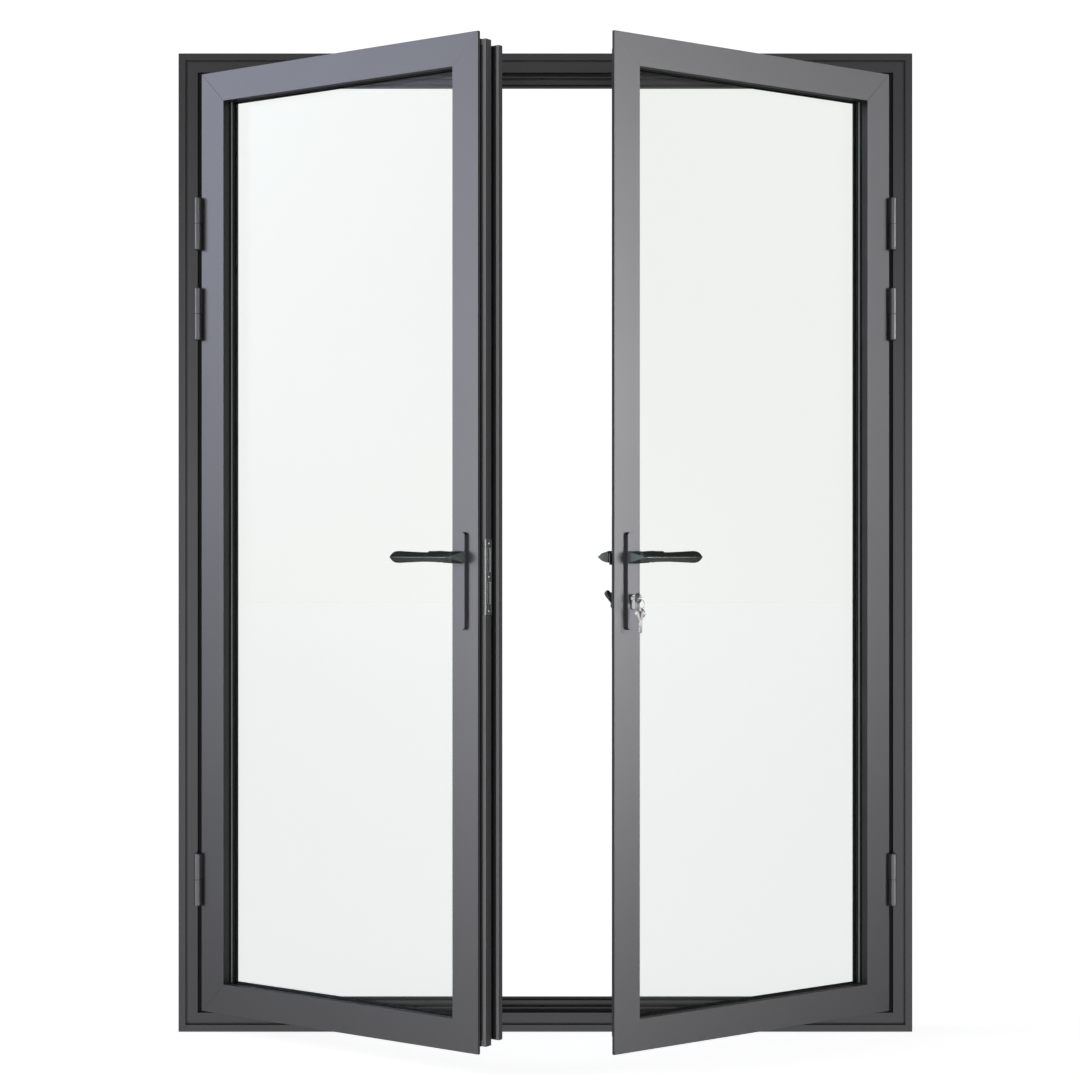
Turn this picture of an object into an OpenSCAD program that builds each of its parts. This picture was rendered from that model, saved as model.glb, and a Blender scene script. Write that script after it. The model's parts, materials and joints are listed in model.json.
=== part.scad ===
// Double-glazed aluminium french doors in their frame, both leaves standing open.
// Millimetres. X to the right, Y into the building, Z up. The origin is on the underside of the
// sill, in the middle of its length and of its depth.
// Inside a leaf, u runs from the hinge axis to the meeting edge, v runs from the leaf's front face
// to its back, and t is the distance in from a leaf's or the frame's outer edge.

/* [Frame] */
// Width over the frame
frame_w = 1800; // [1600:10:2200]
// Height over the frame
frame_h = 2400; // [2000:10:2600]
// Depth of the frame, front to back
frame_d = 66; // [64:1:80]
// Width of the outer strip of the frame
outer_strip = 17; // [12:0.5:20]
// Width of the shadow groove next to it
groove_w = 6.5; // [4:0.5:8]
// Depth of the shadow groove
groove_d = 12; // [6:1:14]
// Wall thickness of the frame and leaf extrusions
wall = 2; // [1.8:0.1:2.4]

/* [Leaves] */
// Angle at which the left, passive leaf stands open
left_angle = 35; // [10:0.1:60]
// Angle at which the right, active leaf stands open
right_angle = 35.4; // [10:0.1:60]
// Depth of a leaf, front to back
leaf_d = 60; // [58:1:62]
// Width of a leaf's rails and stiles, seen from the front
face_w = 72; // [70:1:90]
// Gap between a closed leaf and the frame
edge_gap = 5.5; // [5:0.5:6]
// Gap between the two closed leaves
meeting_gap = 7; // [6:0.5:8]

/* [Glass] */
// Thickness of one pane
pane = 4; // [4:0.5:5]
// Width of the space between the panes
cavity = 16; // [12:1:16]

/* [Hinges] */
// Radius of a hinge barrel
barrel_r = 8; // [7:0.5:9]
// Height of a hinge barrel
barrel_h = 125; // [100:1:140]
// Height of each hinge's middle above the sill's underside
hinge_z = [375, 1760, 1981];
// Radius of a hinge pin
pin_r = 4.5; // [4:0.1:5]

/* [Handles and lock] */
// Height of the lever spindles above the sill's underside
spindle_z = 1167; // [1100:1:1200]
// Distance from lever spindle to lock cylinder
lock_pitch = 92; // [90:0.5:94]
// Distance from a leaf's meeting edge to the spindle
backset = 44; // [43.5:0.5:46]
// Height of a backplate
plate_h = 220; // [200:1:240]
// Width of a backplate
plate_w = 27; // [25:1:30]
// Thickness of a front backplate
plate_t = 10; // [8:0.5:12]
// Radius of the rear rosettes
rosette_r = 13; // [12:0.5:15]
// Thickness of the rear rosettes
rosette_t = 4; // [3:0.5:6]
// Length of a lever from its spindle to its tip
lever_l = 168; // [140:1:180]

/* [Hidden] */
$fn = 64;

// frame section
front_y = -frame_d / 2;
leg_t = 47;
leg_d = 15;
stop1_t = 57;
stop1_d = 40;
stop2_t = 74;
fixing_r = 4.25;
fixing_off = [-1000, -340, 340, 1000];

// hinge axis, in front of the frame face and just clear of the front leg's edge
axis_off = 1.5;
axis_out = 10;
gasket_notch = barrel_h + 3;
hinge_x = frame_w / 2 - leg_t - axis_off;

// leaf outline
leaf_t0 = leg_t + edge_gap;
leaf_u0 = leaf_t0 - leg_t - axis_off;
leaf_w = hinge_x - leaf_u0 - meeting_gap / 2;
leaf_h = frame_h - 2 * leaf_t0;
leaf_z0 = leaf_t0;
meet_u = leaf_u0 + leaf_w;

// leaf section
flange_d = 8;
step1_t = 16;
step1_d = 36;
step2_t = 27;
front_leg_d = 20;
rebate_t = face_w - 13;
lock_step1_t = 22;
lock_step2_t = 38;

// glass
glass_t = rebate_t + 3;
outer_v = front_leg_d + 4;
inner_v = outer_v + pane + cavity;
bead_v = inner_v + pane + 3.2;
spacer_t = glass_t + 1.5;
spacer_h = 6;

// stepped meeting profile of the left leaf
lip_t = 10.5;
lip_v = 15;
tail_t = 24;
tail_v = 46;
web_t = 6;

// handles
handle_u = meet_u - backset;
cyl_z = spindle_z - lock_pitch;
plate_mid_z = spindle_z - 53.2;
front_journal_r = 10;
rear_journal_r = 7;
run_gap = 0.05;
spindle_a = 8;
grip_back = 36;
grip_out = 61;
cyl_front_v = -plate_t - 2.5;
cyl_rear_v = leaf_d + rosette_t + 2.5;
plug_r = 6.5;
plug_l = 32;

// keys and their ring
key_t = 2.2;
bow_r = 12.5;
bow_hole_r = 3;
bow_hole_off = 7.5;
blade_h = 8;
blade_l = 28;
bow_v = cyl_front_v - 17.5;
ring_r = 11.8;
ring_wire = 1.1;
ring_gap = 0.1;
spare_gap = 0.7;
spare_turn = 40;
ring_top_z = cyl_z - bow_hole_r + ring_wire + ring_gap;
ring_v = bow_v - bow_hole_off;
spare_hole_z = ring_top_z - 2 * ring_r - bow_hole_r + ring_wire + spare_gap;

// lock, latch and bolts
case_v0 = 16;
case_v1 = 32;
forend_t = 4;
latch_z = 1163;
latch_h = 26;
latch_v0 = 20;
latch_v1 = 30;
latch_out = 16;
latch_l = 20;
bolt_l = 16;
bolt_z0 = 1066;
bolt_z1 = 1108;
shoot_r = 5;
shoot_t = 4;
shoot_v = 25.5;
shoot_gear_z = 60;
strike_z = [1036.7, 1207.4];
strike_slots = [[1062, 1112], [1133, 1188]];
strike_screw_z = [1046, 1123, 1198];

anodised = [0.34, 0.34, 0.36];
leaf_grey = [0.44, 0.44, 0.46];
black = [0.08, 0.08, 0.08];
steel = [0.72, 0.73, 0.74];
iron = [0.12, 0.14, 0.14];
glass = [0.80, 0.90, 0.86, 0.35];

// ---------- placing ----------

// children in frame coordinates, with y = 0 on the frame's front face
module in_frame() {
    translate([0, front_y, 0]) children();
}

// children in (u, v, z), placed on a leaf hung on the left and standing open by angle
module on_leaf(angle) {
    in_frame()
        translate([-hinge_x, -axis_out, 0])
            rotate([0, 0, -angle])
                translate([0, axis_out, 0]) children();
}

module on_left_leaf() {
    on_leaf(left_angle) children();
}

module on_right_leaf() {
    mirror([1, 0, 0]) on_leaf(right_angle) children();
}

// children drawn flat in (u, z), made solid from v0 to v1
module from_to(v0, v1) {
    translate([0, v1, 0]) rotate([90, 0, 0]) linear_extrude(v1 - v0) children();
}

// ---------- shared shapes ----------

module box(low, high) {
    translate(low) cube(high - low);
}

// one mitred bar of a w by h rectangle centred on the origin, its section drawn flat in (t, v)
// side 0 is the bottom, 1 the left, 2 the top and 3 the right
module mitred_bar(w, h, side) {
    long = side % 2 == 0 ? w : h;
    reach = side % 2 == 0 ? h / 2 : w / 2;
    deep = 90;
    rotate([0, 90 * side, 0]) translate([long / 2, 0, -reach]) rotate([0, -90, 0])
        intersection() {
            linear_extrude(long) children();
            rotate([90, 0, 0]) translate([0, 0, -deep]) linear_extrude(2 * deep)
                polygon([[0, 0], [deep, deep], [deep, long - deep], [0, long]]);
        }
}

module frame_bar(side) {
    translate([0, 0, frame_h / 2]) mitred_bar(frame_w, frame_h, side) children();
}

module leaf_bar(side) {
    translate([leaf_u0 + leaf_w / 2, 0, leaf_z0 + leaf_h / 2])
        mitred_bar(leaf_w, leaf_h, side) children();
}

// a closed ring between t0 and t1 in from the leaf's edge
module leaf_ring(t0, t1, v0, v1) {
    difference() {
        box([leaf_u0 + t0, v0, leaf_z0 + t0], [meet_u - t0, v1, leaf_z0 + leaf_h - t0]);
        box([leaf_u0 + t1, v0 - 1, leaf_z0 + t1], [meet_u - t1, v1 + 1, leaf_z0 + leaf_h - t1]);
    }
}

module frame_ring(t0, t1, v0, v1) {
    half = frame_w / 2;
    difference() {
        box([t0 - half, v0, t0], [half - t0, v1, frame_h - t0]);
        box([t1 - half, v0 - 1, t1], [half - t1, v1 + 1, frame_h - t1]);
    }
}

module rounded_rect(w, h, r) {
    square([w - 2 * r, h], center = true);
    square([w, h - 2 * r], center = true);
    for (i = [-1, 1], j = [-1, 1]) translate([i * (w / 2 - r), j * (h / 2 - r)]) circle(r);
}

// outline of a profile cylinder, centred on its plug
module euro_outline(grow) {
    circle(8.5 + grow);
    translate([-5 - grow, -19.5]) square([10 + 2 * grow, 19.5]);
    translate([0, -19.5]) circle(5 + grow);
}

module chamber(t0, t1, v0, v1) {
    translate([t0, v0]) square([t1 - t0, v1 - v0]);
}

// ---------- frame ----------

module frame_section() {
    difference() {
        polygon([
            [0, 0], [outer_strip, 0], [outer_strip, groove_d], [outer_strip + groove_w, groove_d],
            [outer_strip + groove_w, 0], [leg_t, 0], [leg_t, leg_d], [stop1_t, leg_d],
            [stop1_t, stop1_d], [stop2_t, stop1_d], [stop2_t, frame_d], [0, frame_d]
        ]);
        chamber(wall, outer_strip - wall, wall, leg_d);
        chamber(outer_strip + groove_w + wall, leg_t - wall, wall, leg_d);
        chamber(wall, stop1_t - wall, leg_d + wall, stop1_d - wall);
        chamber(wall, stop2_t - wall, stop1_d + wall, frame_d - wall);
    }
}

// clearance holes in the head or sill for the passive leaf's shoot bolts
module shoot_bolt_hole() {
    translate([-meeting_gap / 2 - shoot_t, shoot_v, stop1_t - 6])
        cylinder(r = shoot_r + 1, h = 10);
}

module frame_head() {
    color(anodised) in_frame() difference() {
        frame_bar(2) frame_section();
        translate([0, 0, frame_h]) mirror([0, 0, 1]) shoot_bolt_hole();
    }
}

module frame_sill() {
    color(anodised) in_frame() difference() {
        frame_bar(0) frame_section();
        shoot_bolt_hole();
    }
}

module frame_jamb() {
    color(anodised) in_frame() difference() {
        frame_bar(1) frame_section();
        for (z = fixing_off)
            translate([-frame_w / 2 - 1, shoot_v, frame_h / 2 + z]) rotate([0, 90, 0])
                cylinder(r = fixing_r, h = stop1_t + 2);
    }
}

// corner cleat of a w by h ring: a foot along the bar and a leg up the stile, at one corner
module cleat(foot_t, leg_t0, hi_t, arm, v0, v1) {
    box([leg_t0, v0, foot_t], [arm, v1, hi_t]);
    box([leg_t0, v0, foot_t], [hi_t, v1, arm]);
}

module frame_corner_cleats() {
    color(steel) in_frame()
        for (i = [0, 1], j = [0, 1])
            mirror([i, 0, 0]) translate([-frame_w / 2, 0, j * frame_h]) mirror([0, 0, j])
                cleat(wall + 0.5, wall + 0.5, stop1_t - wall - 0.5, 110,
                      leg_d + wall + 0.5, stop1_d - wall - 0.5);
}

module frame_front_gasket() {
    color(black) in_frame() difference() {
        frame_ring(leg_t + 0.1, leg_t + 6.6, flange_d + 0.4, leg_d);
        for (i = [0, 1], z = hinge_z)
            mirror([i, 0, 0])
                box([-frame_w / 2 + leg_t - 1, 0, z - gasket_notch / 2],
                    [-frame_w / 2 + leg_t + 9, leg_d + 1, z + gasket_notch / 2]);
    }
}

module frame_rear_gasket() {
    color(black) in_frame() frame_ring(stop1_t + 12.5, stop2_t - 0.5, step1_d + 0.4, stop1_d);
}

// ---------- hinges: the axis is at the origin, the leaf is on the +X side ----------

module frame_knuckle() {
    low = -barrel_h / 2;
    high = -0.5;
    face = axis_out;
    difference() {
        union() {
            translate([0, 0, low]) cylinder(r = barrel_r, h = high - low);
            box([-axis_off, 5, low], [0.7, face + leg_d, high]);
            box([-axis_off, face + leg_d - 2.2, low], [stop1_t - leg_t - axis_off - 0.1,
                face + leg_d, high]);
        }
        translate([0, 0, low + 2.5]) cylinder(r = pin_r, h = barrel_h);
    }
}

module leaf_knuckle() {
    low = 0.5;
    high = barrel_h / 2;
    face = axis_out;
    foot_v = flange_d + 1.8;
    difference() {
        union() {
            translate([0, 0, low]) cylinder(r = barrel_r, h = high - low);
            box([1.9, 5, low], [3.9, face + foot_v + 2.2, high]);
            box([1.9, face + foot_v, low], [leaf_u0 + step1_t, face + foot_v + 2.2, high]);
            box([leaf_u0 + step1_t - 2.2, face + foot_v, low],
                [leaf_u0 + step1_t, face + 30, high]);
        }
        translate([0, 0, -barrel_h / 2]) cylinder(r = pin_r + run_gap, h = barrel_h - 2.5);
    }
}

module at_frame_hinges(side) {
    in_frame() mirror([side, 0, 0])
        for (z = hinge_z) translate([-hinge_x, -axis_out, z]) children();
}

module hinge_frame_knuckles() {
    color(anodised) for (side = [0, 1]) at_frame_hinges(side) frame_knuckle();
}

module hinge_pins() {
    color(steel) for (side = [0, 1]) at_frame_hinges(side)
        translate([0, 0, 2.5 - barrel_h / 2]) cylinder(r = pin_r, h = barrel_h - 6);
}

module leaf_hinge_knuckles() {
    color(anodised) for (z = hinge_z) translate([0, -axis_out, z]) leaf_knuckle();
}

// ---------- leaf extrusions ----------

module leaf_section() {
    difference() {
        polygon([
            [0, 0], [face_w, 0], [face_w, front_leg_d], [rebate_t, front_leg_d],
            [rebate_t, leaf_d], [step2_t, leaf_d], [step2_t, step1_d], [step1_t, step1_d],
            [step1_t, flange_d], [0, flange_d]
        ]);
        chamber(wall, face_w - wall, wall, flange_d - wall);
        chamber(step1_t + wall, rebate_t - wall, flange_d + wall, step1_d - wall);
        chamber(step2_t + wall, rebate_t - wall, step1_d + wall, leaf_d - wall);
        chamber(rebate_t + wall, face_w - wall, flange_d, front_leg_d - wall);
    }
}

module lock_stile_section() {
    difference() {
        polygon([
            [0, 0], [face_w, 0], [face_w, front_leg_d], [rebate_t, front_leg_d],
            [rebate_t, leaf_d], [lock_step2_t, leaf_d], [lock_step2_t, step1_d],
            [lock_step1_t, step1_d], [lock_step1_t, flange_d], [0, flange_d]
        ]);
        chamber(wall, face_w - wall, wall, flange_d - wall);
        chamber(lock_step1_t + wall, rebate_t - wall, flange_d + wall, step1_d - wall);
        chamber(lock_step2_t + wall, rebate_t - wall, step1_d + wall, leaf_d - wall);
        chamber(rebate_t + wall, face_w - wall, flange_d, front_leg_d - wall);
    }
}

module leaf_rail(side) {
    color(leaf_grey) leaf_bar(side) leaf_section();
}

// a rail of the active leaf, its end cut back to the lock stile's deeper steps
module active_rail(side) {
    color(leaf_grey) difference() {
        leaf_bar(side) leaf_section();
        box([meet_u - lock_step1_t, flange_d, 0], [meet_u + 1, leaf_d + 1, frame_h]);
        box([meet_u - lock_step2_t, step1_d, 0], [meet_u + 1, leaf_d + 1, frame_h]);
    }
}

module spindle_hole(v0, v1, r) {
    translate([handle_u, 0, spindle_z]) from_to(v0, v1) circle(r);
}

module cylinder_hole(v0, v1) {
    translate([handle_u, 0, cyl_z]) from_to(v0, v1) euro_outline(0.3);
}

module left_meeting_stile() {
    color(leaf_grey) difference() {
        leaf_bar(3) leaf_section();
        spindle_hole(-1, leaf_d + 1, 8);
    }
}

module right_lock_stile() {
    color(leaf_grey) difference() {
        leaf_bar(3) lock_stile_section();
        spindle_hole(-1, leaf_d + 1, 8);
        cylinder_hole(-1, leaf_d + 1);
        box([meet_u - lock_step1_t - wall - 0.5, case_v0 - 0.3, 979],
            [meet_u - lock_step1_t + 1, case_v1 + 0.3, 1241]);
    }
}

module leaf_corner_cleats(meet_t) {
    low = step1_t + wall + 0.6;
    high = rebate_t - wall - 0.6;
    color(steel) for (j = [0, 1])
        translate([0, 0, leaf_z0 + j * leaf_h]) mirror([0, 0, j]) {
            translate([leaf_u0, 0, 0]) cleat(low, low, high, 95, 11, 33);
            translate([meet_u, 0, 0]) mirror([1, 0, 0]) cleat(low, meet_t, high, 95, 11, 33);
        }
}

// ---------- meeting edges ----------

module meeting_section() {
    difference() {
        polygon([
            [step1_t, lip_v], [-lip_t, lip_v], [-lip_t, step1_d], [web_t, step1_d],
            [web_t, tail_v], [-tail_t, tail_v], [-tail_t, leaf_d], [step2_t, leaf_d],
            [step2_t, step1_d], [step1_t, step1_d]
        ]);
        chamber(wall - lip_t, step1_t - wall, lip_v + wall, step1_d - wall);
        chamber(web_t + wall, step2_t - wall, step1_d + wall, tail_v);
        chamber(wall - tail_t, step2_t - wall, tail_v + wall, leaf_d - wall);
    }
}

module left_meeting_profile() {
    top = leaf_z0 + leaf_h - step1_t;
    color(leaf_grey) difference() {
        translate([meet_u, 0, leaf_z0 + step1_t]) mirror([1, 0, 0])
            linear_extrude(leaf_h - 2 * step1_t) meeting_section();
        for (z = [0, leaf_z0 + leaf_h - step2_t])
            box([meet_u - step2_t - 1, step1_d, z], [meet_u + 40, leaf_d + 1, z + leaf_z0 + step2_t]);
        for (slot = strike_slots)
            box([meet_u + lip_t - wall - 1, 18, slot[0] - 1], [meet_u + lip_t + 1, 32, slot[1] + 1]);
        strike_screw_shapes(1.9);
    }
}

module left_meeting_end_caps() {
    z0 = leaf_z0 + step1_t;
    color(black) for (z = [z0, z0 + leaf_h - 2 * step1_t - 10])
        difference() {
            box([meet_u - step1_t + wall + 0.2, lip_v + wall + 0.2, z],
                [meet_u + lip_t - wall - 0.2, step1_d - wall - 0.2, z + 10]);
            translate([meet_u - shoot_t, shoot_v, z - 1])
                cylinder(r = shoot_r + run_gap, h = 12);
        }
}

// countersunk screws in the strike plate, their heads flush with it
module strike_screw_shapes(shank_r) {
    for (z = strike_screw_z) translate([meet_u + lip_t + 2, shoot_v, z]) rotate([0, -90, 0]) {
        cylinder(r1 = 3.8, r2 = shank_r, h = 2);
        cylinder(r = shank_r, h = 10);
    }
}

module strike_plate() {
    edge = meet_u + lip_t;
    color(steel) difference() {
        union() {
            box([edge, lip_v - 1.5, strike_z[0]], [edge + 2, step1_d, strike_z[1]]);
            box([edge - 5, lip_v - 1.5, strike_z[0]], [edge + 2, lip_v, strike_z[1]]);
        }
        for (slot = strike_slots) box([edge - 1, 19, slot[0]], [edge + 3, 31, slot[1]]);
        strike_screw_shapes(1.9);
    }
}

module strike_screws() {
    color(steel) strike_screw_shapes(1.9);
}

module left_meeting_gasket() {
    color(black) box([meet_u - 10, flange_d + 0.1, leaf_z0 + step1_t],
                     [meet_u - 1, lip_v - 0.1, leaf_z0 + leaf_h - step1_t]);
}

// ---------- glass ----------

module leaf_pane(v) {
    color(glass) box([leaf_u0 + glass_t, v, leaf_z0 + glass_t],
                     [meet_u - glass_t, v + pane, leaf_z0 + leaf_h - glass_t]);
}

module glass_spacer() {
    color(steel) leaf_ring(spacer_t, spacer_t + spacer_h, outer_v + pane, inner_v);
}

module outer_glazing_gasket() {
    color(black) leaf_ring(rebate_t + 3, face_w - 0.5, front_leg_d, outer_v);
}

module inner_glazing_gasket() {
    color(black) leaf_ring(rebate_t + 3, face_w - 0.5, inner_v + pane, bead_v);
}

module glazing_beads() {
    foot = rebate_t;
    color(leaf_grey) for (side = [0:3]) leaf_bar(side) difference() {
        polygon([[foot, bead_v], [face_w, bead_v], [face_w, bead_v + 1.5],
                 [face_w - 6, leaf_d], [foot, leaf_d]]);
        chamber(foot + 1.5, foot + 6, bead_v + 1.5, leaf_d - 1.5);
    }
}

// ---------- handles ----------

module front_backplate(has_cylinder) {
    color(leaf_grey) difference() {
        translate([handle_u, 0, plate_mid_z]) from_to(-plate_t, 0)
            rounded_rect(plate_w, plate_h, 8);
        spindle_hole(-plate_t - 1, 1, front_journal_r + run_gap);
        if (has_cylinder) cylinder_hole(-plate_t - 1, 1);
    }
}

module rear_rosette() {
    color(leaf_grey) difference() {
        translate([handle_u, 0, spindle_z]) from_to(leaf_d, leaf_d + rosette_t)
            circle(rosette_r);
        spindle_hole(leaf_d - 1, leaf_d + rosette_t + 1, rear_journal_r + run_gap);
    }
}

// the lever's rosette, and a round escutcheon where the lock cylinder comes through
module right_rear_rosettes() {
    rear_rosette();
    color(leaf_grey) difference() {
        translate([handle_u, 0, cyl_z]) from_to(leaf_d, leaf_d + rosette_t) circle(rosette_r);
        cylinder_hole(leaf_d - 1, leaf_d + rosette_t + 1);
    }
}

// thin slice of a lever's grip at x, its ridge at distance out from the leaf
module grip_slice(x, half, back, out) {
    translate([x, 0, 0]) rotate([90, 0, 90]) linear_extrude(1)
        polygon([[-half * 0.75, back], [-half, back + 5], [0, out],
                 [half, back + 5], [half * 0.75, back]]);
}

// a lever with the leaf's face at z = 0, standing out along +Z and reaching along -X
module lever(plate, hole_r) {
    color(iron) difference() {
        union() {
            translate([0, 0, 0.5]) cylinder(r = hole_r, h = plate);
            translate([0, 0, plate + 0.3]) cylinder(r1 = 13.6, r2 = 12, h = grip_back + 4 - plate);
            hull() {
                grip_slice(8, 10.5, grip_back, grip_out - 17);
                grip_slice(-3, 13, grip_back, grip_out);
                grip_slice(-50, 12, grip_back, grip_out);
                grip_slice(24 - lever_l, 13.8, grip_back + 1, grip_out - 2);
                grip_slice(5 - lever_l, 8, grip_back + 6, grip_out - 6);
                grip_slice(-lever_l, 3, grip_back + 8, grip_out - 9);
            }
        }
        translate([-spindle_a / 2, -spindle_a / 2, 0])
            cube([spindle_a, spindle_a, plate + 12]);
    }
}

module front_lever() {
    translate([handle_u, 0, spindle_z]) rotate([90, 0, 0]) lever(plate_t, front_journal_r);
}

module rear_lever() {
    translate([handle_u, leaf_d, spindle_z]) rotate([-90, 0, 0])
        lever(rosette_t, rear_journal_r);
}

module spindle() {
    color(steel) translate([handle_u, 0, spindle_z])
        box([-spindle_a / 2, -plate_t - 12, -spindle_a / 2],
            [spindle_a / 2, leaf_d + rosette_t + 12, spindle_a / 2]);
}

module left_gear_case() {
    color(steel) difference() {
        box([meet_u - rebate_t + wall + 0.5, case_v0, spindle_z - 45],
            [meet_u - step1_t - wall - 0.5, case_v1, spindle_z + 45]);
        spindle_hole(case_v0 - 1, case_v1 + 1, 7);
    }
}

// ---------- bolts of the passive leaf ----------

module upper_shoot_bolt() {
    z0 = spindle_z + shoot_gear_z;
    color(steel) translate([meet_u - shoot_t, shoot_v, z0])
        cylinder(r = shoot_r, h = leaf_z0 + leaf_h - step1_t - 0.5 - z0);
}

module lower_shoot_bolt() {
    z0 = leaf_z0 + step1_t + 0.5;
    color(steel) translate([meet_u - shoot_t, shoot_v, z0])
        cylinder(r = shoot_r, h = spindle_z - shoot_gear_z - z0);
}

// ---------- lock of the active leaf ----------

// the lock's case with its faceplate, riveted together
module lock_case() {
    low_u = meet_u - rebate_t + wall + 0.5;
    face_u = meet_u - lock_step1_t;
    color(steel) difference() {
        union() {
            box([low_u, case_v0, 980], [face_u, case_v1, 1240]);
            box([face_u, 12, 960], [face_u + forend_t, 34, 1260]);
        }
        box([low_u + 1.5, case_v0 + 1.5, 981.5], [face_u, case_v1 - 1.5, 1238.5]);
        spindle_hole(case_v0 - 1, case_v1 + 1, 7);
        cylinder_hole(case_v0 - 1, case_v1 + 1);
        box([face_u - 1, latch_v0 - 0.3, latch_z - latch_h / 2 - 0.3],
            [face_u + forend_t + 1, latch_v1 + 0.3, latch_z + latch_h / 2 + 0.3]);
        box([face_u - 1, latch_v0 - 0.3, bolt_z0 - 0.3],
            [face_u + forend_t + 1, latch_v1 + 0.3, bolt_z1 + 0.3]);
    }
}

module latch_bolt() {
    face_u = meet_u - lock_step1_t + forend_t;
    color(steel) translate([0, 0, latch_z - latch_h / 2]) linear_extrude(latch_h)
        polygon([[face_u + latch_out - latch_l, latch_v0], [face_u + latch_out, latch_v0],
                 [face_u + latch_out, latch_v0 + 2.5], [face_u + 1, latch_v1],
                 [face_u + latch_out - latch_l, latch_v1]]);
}

module deadbolt() {
    face_u = meet_u - lock_step1_t + forend_t;
    color(steel) {
        box([face_u - bolt_l, latch_v0, bolt_z0], [face_u, latch_v1, bolt_z1]);
        box([face_u - 34, latch_v0, cyl_z + 12], [face_u - bolt_l, latch_v1, bolt_z1]);
    }
}

module lock_cylinder() {
    color(steel) difference() {
        translate([handle_u, 0, cyl_z]) from_to(cyl_front_v, cyl_rear_v) euro_outline(0);
        translate([handle_u, 0, cyl_z]) from_to(cyl_front_v - 1, cyl_front_v + plug_l)
            circle(plug_r + run_gap);
        translate([handle_u, 0, cyl_z]) from_to(cyl_rear_v - plug_l, cyl_rear_v + 1)
            circle(plug_r + run_gap);
    }
}

module cylinder_plug() {
    color(steel) difference() {
        translate([handle_u, 0, cyl_z]) from_to(cyl_front_v - 0.4, cyl_front_v + plug_l - 0.2)
            circle(plug_r);
        translate([handle_u, 0, cyl_z])
            box([-key_t / 2, cyl_front_v - 1, -blade_h / 2],
                [key_t / 2, cyl_front_v + blade_l, blade_h / 2]);
    }
}

module thumb_turn() {
    color(iron) translate([handle_u, 0, cyl_z]) {
        from_to(cyl_rear_v - plug_l + 0.2, cyl_rear_v + 1) circle(plug_r);
        from_to(cyl_rear_v + 0.4, cyl_rear_v + 4) circle(8);
        rotate([0, 30, 0]) from_to(cyl_rear_v + 4, cyl_rear_v + 20) rounded_rect(13, 38, 6);
    }
}

// key blank in the (v, z) plane: bow centred on the origin, its blade towards +Y
module key_blank(reach) {
    rotate([0, 90, 0]) translate([0, 0, -key_t / 2]) linear_extrude(key_t) difference() {
        union() {
            circle(bow_r);
            translate([-blade_h / 2, 0]) square([blade_h, reach]);
        }
        translate([0, -bow_hole_off]) circle(bow_hole_r);
    }
}

module key() {
    color(steel) translate([handle_u, bow_v, cyl_z])
        key_blank(cyl_front_v + blade_l - bow_v);
}

module key_ring() {
    color(steel) translate([handle_u, ring_v, ring_top_z - ring_r]) rotate([90, 0, 0])
        rotate_extrude() translate([ring_r, 0]) circle(ring_wire);
}

// hangs from the ring, a little turned on it
module spare_key() {
    color(steel) translate([handle_u, ring_v, spare_hole_z - bow_hole_off])
        rotate([0, 0, -spare_turn]) rotate([-90, 0, 0]) key_blank(bow_r + 26);
}

// ---------- drawing ----------

frame_head();
frame_sill();
frame_jamb();  // frame_jamb_left
mirror([1, 0, 0]) frame_jamb();  // frame_jamb_right
frame_corner_cleats();
frame_front_gasket();
frame_rear_gasket();
hinge_frame_knuckles();
hinge_pins();

on_left_leaf() leaf_rail(2);  // left_top_rail
on_left_leaf() leaf_rail(0);  // left_bottom_rail
on_left_leaf() leaf_rail(1);  // left_hinge_stile
on_left_leaf() left_meeting_stile();
on_left_leaf() left_meeting_profile();
on_left_leaf() left_meeting_end_caps();
on_left_leaf() left_meeting_gasket();
on_left_leaf() leaf_corner_cleats(step1_t + wall + 0.6);  // left_corner_cleats
on_left_leaf() leaf_pane(outer_v);  // left_outer_pane
on_left_leaf() leaf_pane(inner_v);  // left_inner_pane
on_left_leaf() glass_spacer();  // left_glass_spacer
on_left_leaf() outer_glazing_gasket();  // left_outer_glazing_gasket
on_left_leaf() inner_glazing_gasket();  // left_inner_glazing_gasket
on_left_leaf() glazing_beads();  // left_glazing_beads
on_left_leaf() leaf_hinge_knuckles();  // left_hinge_knuckles
on_left_leaf() front_backplate(false);  // left_front_backplate
on_left_leaf() rear_rosette();  // left_rear_rosette
on_left_leaf() left_gear_case();
on_left_leaf() strike_plate();
on_left_leaf() strike_screws();
on_left_leaf() front_lever();  // left_front_lever
on_left_leaf() rear_lever();  // left_rear_lever
on_left_leaf() spindle();  // left_spindle
on_left_leaf() upper_shoot_bolt();
on_left_leaf() lower_shoot_bolt();

on_right_leaf() active_rail(2);  // right_top_rail
on_right_leaf() active_rail(0);  // right_bottom_rail
on_right_leaf() leaf_rail(1);  // right_hinge_stile
on_right_leaf() right_lock_stile();
on_right_leaf() leaf_corner_cleats(lock_step1_t + wall + 0.6);  // right_corner_cleats
on_right_leaf() leaf_pane(outer_v);  // right_outer_pane
on_right_leaf() leaf_pane(inner_v);  // right_inner_pane
on_right_leaf() glass_spacer();  // right_glass_spacer
on_right_leaf() outer_glazing_gasket();  // right_outer_glazing_gasket
on_right_leaf() inner_glazing_gasket();  // right_inner_glazing_gasket
on_right_leaf() glazing_beads();  // right_glazing_beads
on_right_leaf() leaf_hinge_knuckles();  // right_hinge_knuckles
on_right_leaf() front_backplate(true);  // right_front_backplate
on_right_leaf() right_rear_rosettes();
on_right_leaf() lock_case();
on_right_leaf() lock_cylinder();
on_right_leaf() front_lever();  // right_front_lever
on_right_leaf() rear_lever();  // right_rear_lever
on_right_leaf() spindle();  // right_spindle
on_right_leaf() latch_bolt();
on_right_leaf() deadbolt();
on_right_leaf() cylinder_plug();
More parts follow.
